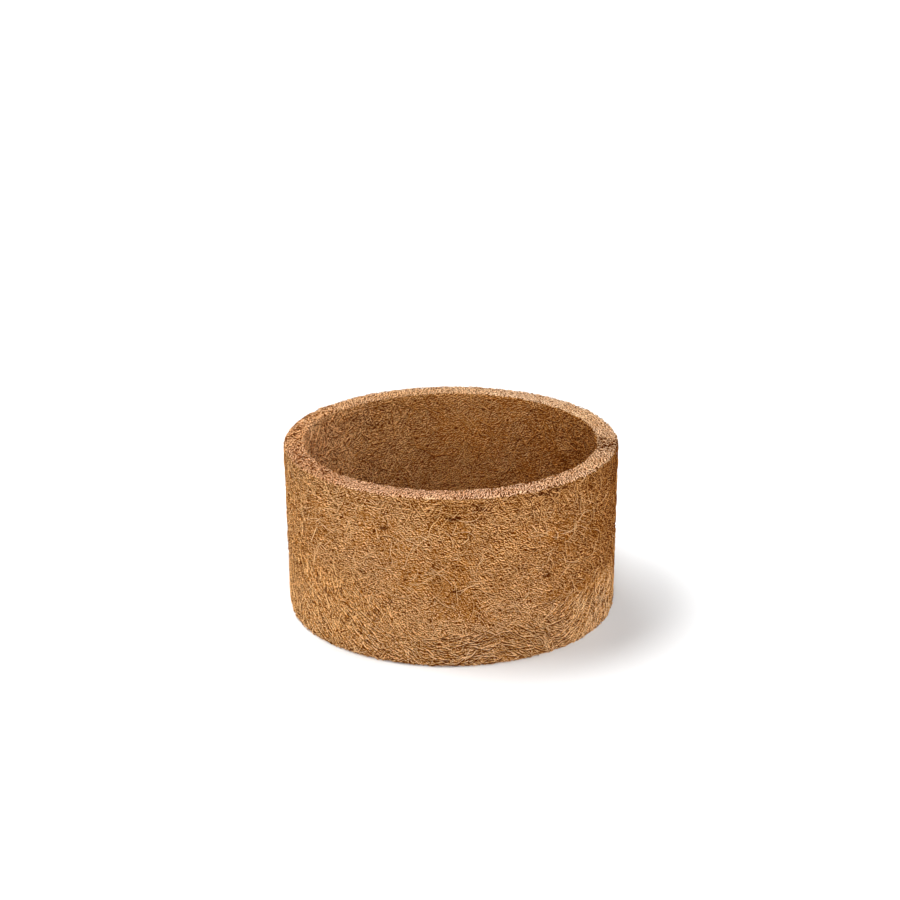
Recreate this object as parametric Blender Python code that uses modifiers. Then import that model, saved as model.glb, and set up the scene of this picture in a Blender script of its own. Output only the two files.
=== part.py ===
"""A coir pot, in metres with +Z up and the middle of its foot at the origin.

A strip of rubberised coir mat is rolled into a ring whose skived ends lie on each other and are bonded with
latex. A round of the same mat is let into the foot and bonded with a film and a bead of latex.
"""

from math import atan2, cos, hypot, pi, radians, sin

import bmesh
import bpy

# The pot
RIM_RADIUS = 0.0760  # outside of the wall at the rim
FOOT_RADIUS = 0.0755  # outside of the wall at the foot
HEIGHT = 0.0785
WALL_THICKNESS = 0.0100
BASE_THICKNESS = 0.0100
RIM_ROUNDING = 0.0015  # on both edges of the cut rim
FOOT_ROUNDING = 0.0010  # on the outer edge of the foot

# The scarf, where the strip's two skived ends lie on each other
SEAM_BEARING = radians(-10)  # round the pot from +X, at the middle of the scarf
SCARF_LENGTH = 0.0120  # along the wall, from the inner edge of the cut to the outer one
SEAM_FILM = 0.0008

# The joint between the base and the wall
BASE_FILM = 0.0008
BEAD_LEG = 0.0040  # up the wall and in along the base
BEAD_EDGE = 0.0003  # what is left of the bead's thickness at its two lips

# Clearances
SEAT_GAP = 0.0003  # between two pieces that touch
FILM_RECESS = 0.0006  # from the mat's faces to the edge of the latex between them
CUT_PAST = 0.0030  # by how much a cutter reaches past the wall

# How finely curves are drawn
TURN_STEPS = 96
ROUNDING_STEPS = 4
BEAD_STEPS = 6
AXIS_MERGE = 0.00001

# Finishes: linear colour, roughness and metallic value
COIR_FINISH = ((0.39, 0.18, 0.07, 1.0), 0.92, 0.0)
BASE_FINISH = ((0.33, 0.15, 0.055, 1.0), 0.92, 0.0)
LATEX_FINISH = ((0.19, 0.09, 0.035, 1.0), 0.45, 0.0)


def clear_scene():
    """Removes whatever the opening scene holds."""
    for item in list(bpy.data.objects):
        bpy.data.objects.remove(item)


def new_collection(name):
    """Makes a collection under the scene's own."""
    collection = bpy.data.collections.new(name)
    bpy.context.scene.collection.children.link(collection)
    return collection


def new_material(name, finish):
    """Makes a Principled material from a colour, a roughness and a metallic value."""
    colour, roughness, metallic = finish
    material = bpy.data.materials.new(name)
    material.use_nodes = True
    shader = material.node_tree.nodes["Principled BSDF"]
    shader.inputs["Base Color"].default_value = colour
    shader.inputs["Roughness"].default_value = roughness
    shader.inputs["Metallic"].default_value = metallic
    material.diffuse_color = colour
    return material


def outer_radius(height):
    """Gives the wall's outside radius at a height, along its slight draft."""
    return FOOT_RADIUS + (RIM_RADIUS - FOOT_RADIUS) * height / HEIGHT


def inner_radius(height):
    """Gives the wall's inside radius at a height."""
    return outer_radius(height) - WALL_THICKNESS


def base_edge(height):
    """Gives the base's radius at a height, which leaves room for the film between it and the wall."""
    return inner_radius(height) - SEAT_GAP - BASE_FILM - SEAT_GAP


def arc(centre, radius, start, end, steps):
    """Gives the points of an arc in a profile's plane, its two ends among them."""
    turns = [start + (end - start) * step / steps for step in range(steps + 1)]
    return [(centre[0] + radius * cos(turn), centre[1] + radius * sin(turn)) for turn in turns]


def wall_outline(inset=0.0):
    """Gives the section of the rolled strip: over its rounded rim, down its outside and back along its foot."""
    top = HEIGHT - inset
    bottom = inset
    inner_shoulder = (inner_radius(HEIGHT) + inset + RIM_ROUNDING, top - RIM_ROUNDING)
    outer_shoulder = (outer_radius(HEIGHT) - inset - RIM_ROUNDING, top - RIM_ROUNDING)
    outer_heel = (outer_radius(0) - inset - FOOT_ROUNDING, bottom + FOOT_ROUNDING)
    points = arc(inner_shoulder, RIM_ROUNDING, pi, pi / 2, ROUNDING_STEPS)
    points += arc(outer_shoulder, RIM_ROUNDING, pi / 2, 0, ROUNDING_STEPS)
    points += arc(outer_heel, FOOT_ROUNDING, 0, -pi / 2, ROUNDING_STEPS)
    points.append((inner_radius(0) + inset, bottom))
    return points


def base_outline():
    """Gives half the section of the base, from the axis over its upper face and round its edge."""
    return [
        (0.0, BASE_THICKNESS),
        (base_edge(BASE_THICKNESS), BASE_THICKNESS),
        (base_edge(0), 0.0),
        (0.0, 0.0),
    ]


def joint_outline():
    """Gives the section of the latex round the base: a film down its edge under a hollow bead in the corner."""
    floor = BASE_THICKNESS + SEAT_GAP
    lip = floor + BEAD_LEG
    wall = inner_radius(floor) - SEAT_GAP
    hollow = (wall - BEAD_LEG, lip)
    points = [(inner_radius(lip) - SEAT_GAP, lip)]
    points.append((inner_radius(FILM_RECESS) - SEAT_GAP, FILM_RECESS))
    points.append((inner_radius(FILM_RECESS) - SEAT_GAP - BASE_FILM, FILM_RECESS))
    points.append((wall - BASE_FILM, floor))
    points.append((wall - BEAD_LEG, floor))
    points += arc(hollow, BEAD_LEG - BEAD_EDGE, -pi / 2, 0, BEAD_STEPS)
    return points


def turned(name, outline, closed, collection, material):
    """Turns an outline, given as points of radius and height, round the pot's axis."""
    mesh = bpy.data.meshes.new(name)
    edges = [(first, first + 1) for first in range(len(outline) - 1)]
    if closed:
        edges.append((len(outline) - 1, 0))
    mesh.from_pydata([(radius, 0.0, height) for radius, height in outline], edges, [])
    mesh.materials.append(material)
    part = bpy.data.objects.new(name, mesh)
    collection.objects.link(part)
    screw = part.modifiers.new("turn", "SCREW")
    screw.angle = 2 * pi
    screw.steps = TURN_STEPS
    screw.render_steps = TURN_STEPS
    screw.use_merge_vertices = True
    screw.merge_threshold = AXIS_MERGE
    screw.use_smooth_shade = True
    return part


def seam_slab(name, thickness, collection):
    """Makes an upright slab that lies along the scarf and reaches past the wall on every side."""
    half_turn = SCARF_LENGTH / (inner_radius(HEIGHT / 2) + outer_radius(HEIGHT / 2))
    start = SEAM_BEARING - half_turn
    end = SEAM_BEARING + half_turn
    near = (inner_radius(HEIGHT / 2) * cos(start), inner_radius(HEIGHT / 2) * sin(start))
    far = (outer_radius(HEIGHT / 2) * cos(end), outer_radius(HEIGHT / 2) * sin(end))
    across = (far[0] - near[0], far[1] - near[1])
    scarf = hypot(*across)
    past = (abs(RIM_RADIUS - FOOT_RADIUS) + CUT_PAST) * scarf / WALL_THICKNESS

    mesh = bpy.data.meshes.new(name)
    block = bmesh.new()
    bmesh.ops.create_cube(block, size=1.0)
    bmesh.ops.scale(block, vec=(scarf + 2 * past, thickness, HEIGHT + 2 * CUT_PAST), verts=block.verts)
    block.to_mesh(mesh)
    block.free()
    slab = bpy.data.objects.new(name, mesh)
    slab.location = ((near[0] + far[0]) / 2, (near[1] + far[1]) / 2, HEIGHT / 2)
    slab.rotation_euler.z = atan2(across[1], across[0])
    slab.hide_render = True
    slab.display_type = "WIRE"
    collection.objects.link(slab)
    return slab


def cut(part, cutter, operation):
    """Cuts a part by a cutter, or keeps only what lies inside it."""
    boolean = part.modifiers.new(cutter.name, "BOOLEAN")
    boolean.operation = operation
    boolean.solver = "EXACT"
    boolean.object = cutter


def crisp(part):
    """Lets flat faces stay flat beside the rounded edges when the part is shaded smooth."""
    part.modifiers.new("even_shading", "WEIGHTED_NORMAL")


def build_wall(parts, cutters):
    """Builds the rolled strip, open along the scarf, and the film of latex that closes it."""
    wall = turned("side_wall", wall_outline(), True, parts, new_material("coir_mat", COIR_FINISH))
    cut(wall, seam_slab("scarf_cutter", SEAM_FILM + 2 * SEAT_GAP, cutters), "DIFFERENCE")
    latex = new_material("seam_latex", LATEX_FINISH)
    film = turned("wall_seam_latex", wall_outline(FILM_RECESS), True, parts, latex)
    cut(film, seam_slab("film_guide", SEAM_FILM, cutters), "INTERSECT")
    return [wall, film]


def build_base(parts):
    """Builds the round of mat in the foot and the latex that holds it."""
    base = turned("base_disc", base_outline(), False, parts, new_material("base_mat", BASE_FINISH))
    latex = new_material("base_latex", LATEX_FINISH)
    joint = turned("base_joint_latex", joint_outline(), True, parts, latex)
    return [base, joint]


def build_pot():
    """Builds every piece of the pot under one empty at the middle of its foot."""
    parts = new_collection("coir_pot")
    cutters = new_collection("cutters")
    foot_centre = bpy.data.objects.new("foot_centre", None)
    parts.objects.link(foot_centre)
    for piece in build_wall(parts, cutters) + build_base(parts):
        crisp(piece)
        piece.parent = foot_centre


clear_scene()
build_pot()
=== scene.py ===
"""Dresses the coir pot: pressed coconut fibre on every face of its mat, and latex in its joints.

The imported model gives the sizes. The wall, the base, the latex, the studio and each kind of finish have a
class each, and so has what they are worked out from. Lengths are in metres. Bearings run from +X towards +Y.
"""

import logging
from dataclasses import asdict, dataclass, field, replace
from enum import Enum
from math import atan2, cos, degrees, hypot, pi, radians, sin

import bpy
from mathutils import Euler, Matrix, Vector


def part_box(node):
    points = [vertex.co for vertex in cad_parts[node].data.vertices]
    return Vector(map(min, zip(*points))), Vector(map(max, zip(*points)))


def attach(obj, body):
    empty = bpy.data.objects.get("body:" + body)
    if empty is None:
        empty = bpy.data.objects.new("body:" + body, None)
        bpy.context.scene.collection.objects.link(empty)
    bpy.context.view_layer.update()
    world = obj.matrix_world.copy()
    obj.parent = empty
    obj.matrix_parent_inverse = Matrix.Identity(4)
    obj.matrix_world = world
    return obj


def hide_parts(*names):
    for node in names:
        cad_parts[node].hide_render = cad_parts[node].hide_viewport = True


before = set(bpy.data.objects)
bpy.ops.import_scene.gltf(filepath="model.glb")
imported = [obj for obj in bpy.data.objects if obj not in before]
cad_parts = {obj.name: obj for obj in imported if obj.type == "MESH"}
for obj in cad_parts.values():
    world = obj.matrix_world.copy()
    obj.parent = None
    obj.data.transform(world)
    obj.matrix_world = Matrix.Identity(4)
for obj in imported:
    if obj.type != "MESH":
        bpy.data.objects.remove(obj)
LOG = logging.getLogger("coir_pot")
MM = 0.001
BODY = "root"
MIDDLE = (0.5, 0.5, 0.5)
WHITE = (1.0, 1.0, 1.0, 1.0)

Node = bpy.types.Node
NodeTree = bpy.types.NodeTree
Socket = bpy.types.NodeSocket
Material = bpy.types.Material
Piece = bpy.types.Object


class Face(Enum):
    """The faces of the rolled strip, in the order in which its section runs over them."""

    INSIDE = "inside"
    RIM = "rim"
    OUTSIDE = "outside"
    FOOT = "foot"


class TreeKind(Enum):
    """The kinds of node group that are written here."""

    GEOMETRY = "GeometryNodeTree"
    SHADER = "ShaderNodeTree"


# Writing node trees


class Tree:
    """Writes a node tree, node by node. A value is a number, a vector, a colour or another node's output."""

    def __init__(self, tree: NodeTree) -> None:
        """Starts on a tree."""
        self.tree = tree

    def node(self, kind: str, inputs: dict | None = None, **settings: object) -> Node:
        """Adds a node.

        Args:
            kind: The node's type name.
            inputs: For each input's name or index, an output to join it to, or a value.
            settings: The node's own properties.

        Returns:
            The new node.
        """
        made = self.tree.nodes.new(kind)
        for name, value in settings.items():
            setattr(made, name, value)
        for name, value in (inputs or {}).items():
            self.feed(made.inputs[name], value)
        return made

    def feed(self, socket: Socket, value: object) -> None:
        """Joins an output to a socket, or sets the socket's value.

        Args:
            socket: The input that is fed.
            value: The output or the value.
        """
        if isinstance(value, Socket):
            self.tree.links.new(value, socket)
        else:
            socket.default_value = value

    def group(self, tree: NodeTree, inputs: dict) -> object:
        """Adds a node group and gives its outputs."""
        kind = self.tree.bl_idname.replace("Tree", "Group")
        return self.node(kind, inputs, node_tree=tree).outputs

    def math(self, operation: str, *values: object, clamp: bool = False) -> Socket:
        """Adds a Math node and gives its output."""
        made = self.node("ShaderNodeMath", dict(enumerate(values)), operation=operation, use_clamp=clamp)
        return made.outputs[0]

    def plus(self, first: object, second: object, clamp: bool = False) -> Socket:
        """Gives a sum."""
        return self.math("ADD", first, second, clamp=clamp)

    def minus(self, first: object, second: object) -> Socket:
        """Gives a difference."""
        return self.math("SUBTRACT", first, second)

    def times(self, first: object, second: object, clamp: bool = False) -> Socket:
        """Gives a product."""
        return self.math("MULTIPLY", first, second, clamp=clamp)

    def times_plus(self, first: object, second: object, third: object, clamp: bool = False) -> Socket:
        """Gives the product of two values, plus a third."""
        return self.math("MULTIPLY_ADD", first, second, third, clamp=clamp)

    def highest(self, first: object, second: object) -> Socket:
        """Gives the higher of two values."""
        return self.math("MAXIMUM", first, second)

    def squared(self, value: object) -> Socket:
        """Gives a value times itself."""
        return self.math("MULTIPLY", value, value)

    def vector_math(self, operation: str, *values: object) -> Socket:
        """Adds a Vector Math node and gives its vector."""
        return self.node("ShaderNodeVectorMath", dict(enumerate(values)), operation=operation).outputs[0]

    def moved(self, vector: object, offset: object) -> Socket:
        """Gives the sum of two vectors."""
        return self.vector_math("ADD", vector, offset)

    def stretched(self, vector: object, factors: object) -> Socket:
        """Gives a vector with each of its numbers times its own factor."""
        return self.vector_math("MULTIPLY", vector, factors)

    def scaled(self, vector: object, factor: object) -> Socket:
        """Gives a vector times a number."""
        made = self.node("ShaderNodeVectorMath", {0: vector, "Scale": factor}, operation="SCALE")
        return made.outputs[0]

    def dot(self, first: object, second: object) -> Socket:
        """Gives the dot product of two vectors."""
        made = self.node("ShaderNodeVectorMath", {0: first, 1: second}, operation="DOT_PRODUCT")
        return made.outputs["Value"]

    def reach(self, x: object, y: object) -> Socket:
        """Gives the length of a level vector."""
        made = self.node("ShaderNodeVectorMath", {0: self.combine(x, y)}, operation="LENGTH")
        return made.outputs["Value"]

    def combine(self, x: object = 0.0, y: object = 0.0, z: object = 0.0) -> Socket:
        """Gives a vector made of three numbers."""
        return self.node("ShaderNodeCombineXYZ", {0: x, 1: y, 2: z}).outputs[0]

    def split(self, vector: Socket) -> tuple:
        """Gives a vector's three numbers."""
        return tuple(self.node("ShaderNodeSeparateXYZ", {0: vector}).outputs)

    def turned(self, vector: object, axis: str, angle: object) -> Socket:
        """Gives a vector turned about the X, Y or Z axis."""
        inputs = {"Vector": vector, "Angle": angle}
        return self.node("ShaderNodeVectorRotate", inputs, rotation_type=f"{axis}_AXIS").outputs[0]

    def ramp(self, value: object, low: object, high: object, start: object = 0.0, end: object = 1.0,
             smooth: bool = True) -> Socket:
        """Maps a value from low..high to start..end, and holds it at both ends.

        Args:
            value: The value.
            low: The value that gives start.
            high: The value that gives end.
            start: The lowest result.
            end: The highest result.
            smooth: True to ease in and out.

        Returns:
            The result.
        """
        inputs = dict(enumerate((value, low, high, start, end)))
        kind = "SMOOTHSTEP" if smooth else "LINEAR"
        return self.node("ShaderNodeMapRange", inputs, interpolation_type=kind).outputs[0]

    def mix(self, share: object, first: object, second: object) -> Socket:
        """Gives two numbers mixed, by the share of the second."""
        return self.node("ShaderNodeMix", {0: share, 2: first, 3: second}).outputs[0]

    def blend(self, share: object, first: object, second: object, kind: str = "MIX") -> Socket:
        """Gives two colours mixed, by the share of the second."""
        inputs = {"Factor": share, "A": first, "B": second}
        return self.node("ShaderNodeMix", inputs, data_type="RGBA", blend_type=kind).outputs["Result"]

    def tinted(self, colour: object, tint: object) -> Socket:
        """Gives the product of two colours."""
        return self.blend(1.0, colour, tint, "MULTIPLY")

    def noise(self, vector: object, scale: object, detail: float = 2.0, rough: float = 0.5,
              colour: bool = False) -> Socket:
        """Gives a noise texture's value, or its three values as a colour."""
        inputs = {"Vector": vector, "Scale": scale, "Detail": detail, "Roughness": rough}
        return self.node("ShaderNodeTexNoise", inputs).outputs["Color" if colour else "Fac"]

    def patches(self, vector: object, scale: float, detail: float, low: float, high: float,
                start: float = 0.0, end: float = 1.0) -> Socket:
        """Gives a mask of soft patches: start where a noise is below low, and end where it is above high."""
        return self.ramp(self.noise(vector, scale, detail), low, high, start, end)

    def compared(self, value: object, limit: object, operation: str) -> Socket:
        """Tells whether a number is less or more than a limit."""
        return self.node("FunctionNodeCompare", {0: value, 1: limit}, operation=operation).outputs[0]

    def stored(self, geometry: Socket, name: str, value: object, kind: str = "FLOAT") -> Socket:
        """Stores a value at each point of a geometry."""
        inputs = {"Geometry": geometry, "Name": name, "Value": value}
        return self.node("GeometryNodeStoreNamedAttribute", inputs, data_type=kind, domain="POINT").outputs[0]

    def recalled(self, name: str, kind: str = "FLOAT") -> Socket:
        """Gives a value that was stored at each point."""
        return self.node("GeometryNodeInputNamedAttribute", {"Name": name}, data_type=kind).outputs[0]

    def placed(self, geometry: Socket, position: object) -> Socket:
        """Puts a geometry's points where they belong."""
        return self.node("GeometryNodeSetPosition", {"Geometry": geometry, "Position": position}).outputs[0]

    def finished(self, mesh: Socket, material: Socket) -> Socket:
        """Ends a geometry tree with a smooth, real mesh in its material.

        Args:
            mesh: The mesh.
            material: The material's socket.

        Returns:
            The finished mesh.
        """
        smooth = self.node("GeometryNodeSetShadeSmooth", {"Geometry": mesh, "Shade Smooth": True})
        real = self.node("GeometryNodeRealizeInstances", {"Geometry": smooth.outputs[0]})
        inputs = {"Geometry": real.outputs[0], "Material": material}
        return self.node("GeometryNodeSetMaterial", inputs).outputs[0]


def socket_kind(value: object) -> str:
    """Tells the kind of a node group's socket.

    Args:
        value: The socket's default value or, where it has none, its kind.

    Returns:
        The kind: Float, Int, Vector, Color, Geometry, Material or Object.
    """
    if isinstance(value, str):
        return value
    if isinstance(value, tuple):
        return "Color" if len(value) == len(WHITE) else "Vector"
    return "Int" if isinstance(value, int) else "Float"


def new_tree(name: str, kind: TreeKind, inputs: dict, outputs: dict) -> tuple:
    """Starts a node group with named sockets.

    Args:
        name: The group's name.
        kind: What the group works on.
        inputs: Each input's name, with its default value or, where it has none, its kind.
        outputs: Each output's name, with its kind.

    Returns:
        A writer on the group, and the group's inputs.
    """
    tree = bpy.data.node_groups.new(name, kind.value)
    for side, sockets in (("INPUT", inputs), ("OUTPUT", outputs)):
        for label, value in sockets.items():
            socket_type = f"NodeSocket{socket_kind(value)}"
            made = tree.interface.new_socket(label, in_out=side, socket_type=socket_type)
            if not isinstance(value, str):
                made.default_value = value
    writer = Tree(tree)
    return writer, writer.node("NodeGroupInput").outputs


# Sizes


@dataclass(frozen=True)
class PotSizes:
    """The pot's driving sizes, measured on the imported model."""

    rim_radius: float
    foot_radius: float
    height: float
    inner_radius: float
    base_radius: float
    base_top: float
    bead_top: float
    seam_bearing: float
    seam_slant: float

    @classmethod
    def from_frame(cls) -> "PotSizes":
        """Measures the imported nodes.

        Returns:
            The sizes that everything in this file is worked out from.
        """
        seat_gap = 0.3 * MM
        heel_height = 2 * MM
        _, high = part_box("side_wall")
        _, base_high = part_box("base_disc")
        _, bead_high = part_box("base_joint_latex")
        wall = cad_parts["side_wall"].data.vertices
        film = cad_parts["wall_seam_latex"].data.vertices
        reach = [hypot(v.co.x, v.co.y) for v in film]
        turn = [atan2(v.co.y, v.co.x) for v in film]
        middle, bearing = sum(reach) / len(reach), sum(turn) / len(turn)
        across = sum((r - middle) * (a - bearing) for r, a in zip(reach, turn))
        return cls(
            rim_radius=high.x,
            foot_radius=max(hypot(v.co.x, v.co.y) for v in wall if v.co.z < heel_height),
            height=high.z,
            inner_radius=bead_high.x + seat_gap,
            base_radius=base_high.x,
            base_top=base_high.z,
            bead_top=bead_high.z,
            seam_bearing=bearing,
            seam_slant=across / sum((r - middle) ** 2 for r in reach),
        )

    @property
    def wall(self) -> float:
        """The mat's thickness."""
        lean = (self.rim_radius - self.foot_radius) * self.bead_top / self.height
        return self.foot_radius + lean - self.inner_radius

    @property
    def middle_radius(self) -> float:
        """The radius of the middle of the wall."""
        return self.rim_radius - self.wall / 2


@dataclass
class Section:
    """An outline of the strip, set in from its faces: up its inside, over its rim, down, under its foot."""

    sizes: PotSizes
    inset: float = 0.5 * MM
    end_inset: float = 0.15 * MM
    inside_start: float = 0.12  # share of the wall's draft at the base
    rim_rounding: float = 1.3 * MM
    foot_rounding: float = 0.8 * MM
    arc_steps: int = 10
    points: list = field(default_factory=list)
    marks: dict = field(default_factory=dict)

    def arc(self, centre: tuple, radius: float, start: float, end: float) -> None:
        """Adds the points of an arc to the outline.

        Args:
            centre: The arc's centre, as radius and height.
            radius: The arc's own radius.
            start: The angle of its first point.
            end: The angle of its last point.
        """
        for step in range(self.arc_steps + 1):
            turn = start + (end - start) * step / self.arc_steps
            self.points.append((centre[0] + radius * cos(turn), centre[1] + radius * sin(turn)))

    def length(self) -> float:
        """Gives the outline's length so far."""
        pairs = zip(self.points, self.points[1:])
        return sum(hypot(b[0] - a[0], b[1] - a[1]) for a, b in pairs)

    def mark(self, face: Face, start: float) -> float:
        """Notes where a face starts and ends, and takes off the last point, which the next arc starts with.

        Args:
            face: The face that the outline has just run over.
            start: Where the face starts.

        Returns:
            Where the face ends.
        """
        end = self.length()
        self.marks[face] = (start, end)
        self.points.pop()
        return end

    def draw(self) -> None:
        """Works out the outline from the pot's sizes."""
        sizes, turn = self.sizes, self.rim_rounding
        top = sizes.height - self.end_inset
        rim_out, rim_in = sizes.rim_radius - self.inset, sizes.rim_radius - sizes.wall + self.inset
        foot_out, foot_in = sizes.foot_radius - self.inset, sizes.foot_radius - sizes.wall + self.inset
        inner, outer = (rim_in + turn, top - turn), (rim_out - turn, top - turn)
        start = foot_in + (rim_in - foot_in) * self.inside_start
        self.points = [(start, sizes.base_top - self.inset)]
        self.arc(inner, turn, pi, pi * 0.75)
        end = self.mark(Face.INSIDE, 0.0)
        self.arc(inner, turn, pi * 0.75, pi / 2)
        self.arc(outer, turn, pi / 2, pi / 4)
        end = self.mark(Face.RIM, end)
        self.arc(outer, turn, pi / 4, 0)
        turn = self.foot_rounding
        heel = (foot_out - turn, self.end_inset + turn)
        self.arc(heel, turn, 0, -pi / 4)
        end = self.mark(Face.OUTSIDE, end)
        self.arc(heel, turn, -pi / 4, -pi / 2)
        self.points.append((foot_in, self.end_inset))
        self.marks[Face.FOOT] = (end, self.length())

    def curve(self, name: str, closed: bool) -> Piece:
        """Makes the outline a curve that the node trees read.

        Args:
            name: The guide's name.
            closed: True to join the outline's end to its start.

        Returns:
            The guide, with radius along X and height along Z.
        """
        data = bpy.data.curves.new(name, "CURVE")
        data.dimensions = "3D"
        spline = data.splines.new("POLY")
        spline.points.add(len(self.points) - 1)
        for point, (radius, height) in zip(spline.points, self.points):
            point.co = (radius, 0.0, height, 1.0)
        spline.use_cyclic_u = closed
        guide = bpy.data.objects.new(name, data)
        bpy.context.scene.collection.objects.link(guide)
        return guide


@dataclass(frozen=True)
class FleeceSizes:
    """How one layer of fibres is strewn."""

    count: int = 100
    points: int = 4
    shortest: float = 2.5 * MM
    longest: float = 9 * MM
    thinnest: float = 0.13 * MM
    thickest: float = 0.25 * MM
    bend: float = 130.0
    wander: float = 0.4 * MM
    wander_scale: float = 250.0
    combed: float = 0.5
    grain: float = 0.0
    flow: float = 6.0
    even: float = 0.0
    low: float = -0.25 * MM
    high: float = 0.45 * MM
    dive: float = 0.35 * MM
    depth_shade: float = 0.45
    seed: int = 0

    def inputs(self, low_corner: tuple = (0.0, 0.0, 0.0), high_corner: tuple = (1.0, 1.0, 0.0)) -> dict:
        """Gives the values of a fleece tree's inputs, for a field between two corners."""
        named = {name.replace("_", " ").title(): value for name, value in asdict(self).items()}
        return named | {"Low Corner": low_corner, "High Corner": high_corner}


# Geometry node trees


def strewn_fibres_group() -> NodeTree:
    """Writes the group that strews loose fibres over a flat field, U along X, V along Y and height along Z.

    Returns:
        The group. It puts out one curve a fibre, and stores each point's thickness and each fibre's shade,
        which is darker, as painted shade, where the fibre lies lower.
    """
    t, given = new_tree("strewn_fibres", TreeKind.GEOMETRY, FleeceSizes().inputs(), {"Fibres": "Geometry"})
    length_bias = 1.6
    girth_bias = 1.8
    taper = -0.55
    lane_step = 0.013
    sway_share = (2.0, 2.0, 0.25)
    line = t.node("GeometryNodeCurvePrimitiveLine", {"End": (1.0, 0.0, 0.0)}).outputs[0]
    strand = t.node("GeometryNodeResampleCurve", {"Curve": line, "Count": given["Points"]}).outputs[0]
    copies = t.node("GeometryNodeDuplicateElements", {"Geometry": strand, "Amount": given["Count"]},
                    domain="SPLINE")
    capture = t.node("GeometryNodeCaptureAttribute", domain="CURVE")
    capture.capture_items.new("INT", "Fibre")
    t.feed(capture.inputs["Geometry"], copies.outputs["Geometry"])
    t.feed(capture.inputs["Fibre"], copies.outputs["Duplicate Index"])
    fibre = capture.outputs["Fibre"]
    along = t.node("GeometryNodeSplineParameter").outputs["Factor"]

    def random(draw: int, low: object = 0.0, high: object = 1.0, vector: bool = False) -> Socket:
        """Gives a random value for each fibre.

        Args:
            draw: The number of the draw, which keeps it apart from the others.
            low: The lowest value.
            high: The highest value.
            vector: True for a vector.

        Returns:
            The value.
        """
        kind, first, output = ("FLOAT_VECTOR", 0, 0) if vector else ("FLOAT", 2, 1)
        inputs = {first: low, first + 1: high, "ID": fibre, "Seed": t.plus(given["Seed"], float(draw))}
        return t.node("FunctionNodeRandomValue", inputs, data_type=kind).outputs[output]

    seat = random(0, given["Low Corner"], given["High Corner"], vector=True)
    spread = random(1, -pi, pi)
    flow = t.times(t.minus(t.noise(seat, scale=28.0, detail=1.0), 0.5), given["Flow"])
    patch = t.patches(t.moved(seat, (0.3, 0.7, 0.1)), scale=45.0, detail=1.0, low=0.45, high=0.62)
    combed = t.times(t.highest(patch, given["Even"]), given["Combed"])
    heading = t.plus(t.plus(given["Grain"], flow), t.times(spread, t.minus(1.0, combed)))
    long = t.math("POWER", random(2), length_bias)
    span = t.times_plus(long, t.minus(given["Longest"], given["Shortest"]), given["Shortest"])
    travel = t.times(t.minus(along, 0.5), span)
    curl = t.times(random(3, -1.0, 1.0), given["Bend"])
    turn = t.times_plus(t.times(travel, curl), 0.5, heading)
    path = t.combine(t.times(travel, t.math("COSINE", turn)), t.times(travel, t.math("SINE", turn)))
    flat = t.moved(seat, path)

    lane = t.scaled(t.combine(1.0, 0.37, 0.73), t.times(fibre, lane_step))
    sway = t.noise(t.moved(flat, lane), given["Wander Scale"], detail=1.0, colour=True)
    sway = t.scaled(t.vector_math("SUBTRACT", sway, MIDDLE), given["Wander"])
    sway = t.stretched(sway, sway_share)
    end = t.math("POWER", t.math("ABSOLUTE", t.times_plus(along, 2.0, -1.0)), 4.0)
    height = t.minus(random(4, given["Low"], given["High"]), t.times(end, given["Dive"]))
    placed = t.placed(capture.outputs["Geometry"], t.moved(t.moved(flat, sway), t.combine(0.0, 0.0, height)))

    thick = t.math("POWER", random(5), girth_bias)
    girth = t.times_plus(thick, t.minus(given["Thickest"], given["Thinnest"]), given["Thinnest"])
    girth = t.times(girth, t.times_plus(end, taper, 1.0))
    # Painted shade: fibres that lie lower are darker.
    raised = t.ramp(height, given["Low"], given["High"], smooth=False)
    own = t.times(random(6), t.minus(1.0, given["Depth Shade"]))
    shade = t.times_plus(raised, given["Depth Shade"], own)
    t.node("NodeGroupOutput", {"Fibres": t.stored(t.stored(placed, "girth", girth), "shade", shade)})
    return t.tree


def spun_fibres_group() -> NodeTree:
    """Writes the group that gives laid fibres their thickness and their finish, with painted shade on their
    sides.

    Returns:
        The group, which turns curves with a girth into slim closed tubes.
    """
    inputs = {"Fibres": "Geometry", "Sides": 3, "Fewest Points": 3, "Side Shade": 0.2, "Material": "Material"}
    t, given = new_tree("spun_fibres", TreeKind.GEOMETRY, inputs, {"Mesh": "Geometry"})
    count = t.node("GeometryNodeSplineLength").outputs["Point Count"]
    short = t.node("FunctionNodeCompare", {2: count, 3: given["Fewest Points"]}, data_type="INT",
                   operation="LESS_THAN")
    kept = t.node("GeometryNodeDeleteGeometry", {"Geometry": given["Fibres"], "Selection": short.outputs[0]},
                  domain="CURVE")
    ring = t.node("GeometryNodeCurvePrimitiveCircle", {"Resolution": given["Sides"], "Radius": 1.0})
    tube = t.node("GeometryNodeCurveToMesh", {"Curve": kept.outputs[0], "Profile Curve": ring.outputs[0],
                                              "Fill Caps": True, "Scale": t.recalled("girth")})
    # Painted shade: the sides of each tube that face away from the mat are darker than its top.
    crest = t.dot(t.recalled("out", "FLOAT_VECTOR"), t.node("GeometryNodeInputNormal").outputs[0])
    crest = t.ramp(crest, -0.3, 1.0, given["Side Shade"], 1.0, smooth=False)
    mesh = t.stored(tube.outputs[0], "shade", t.times(t.recalled("shade"), crest))
    for name in ("out", "girth"):
        mesh = t.node("GeometryNodeRemoveAttribute", {"Geometry": mesh, "Name": name}).outputs[0]
    t.node("NodeGroupOutput", {"Mesh": t.finished(mesh, given["Material"])})
    return t.tree


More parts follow.
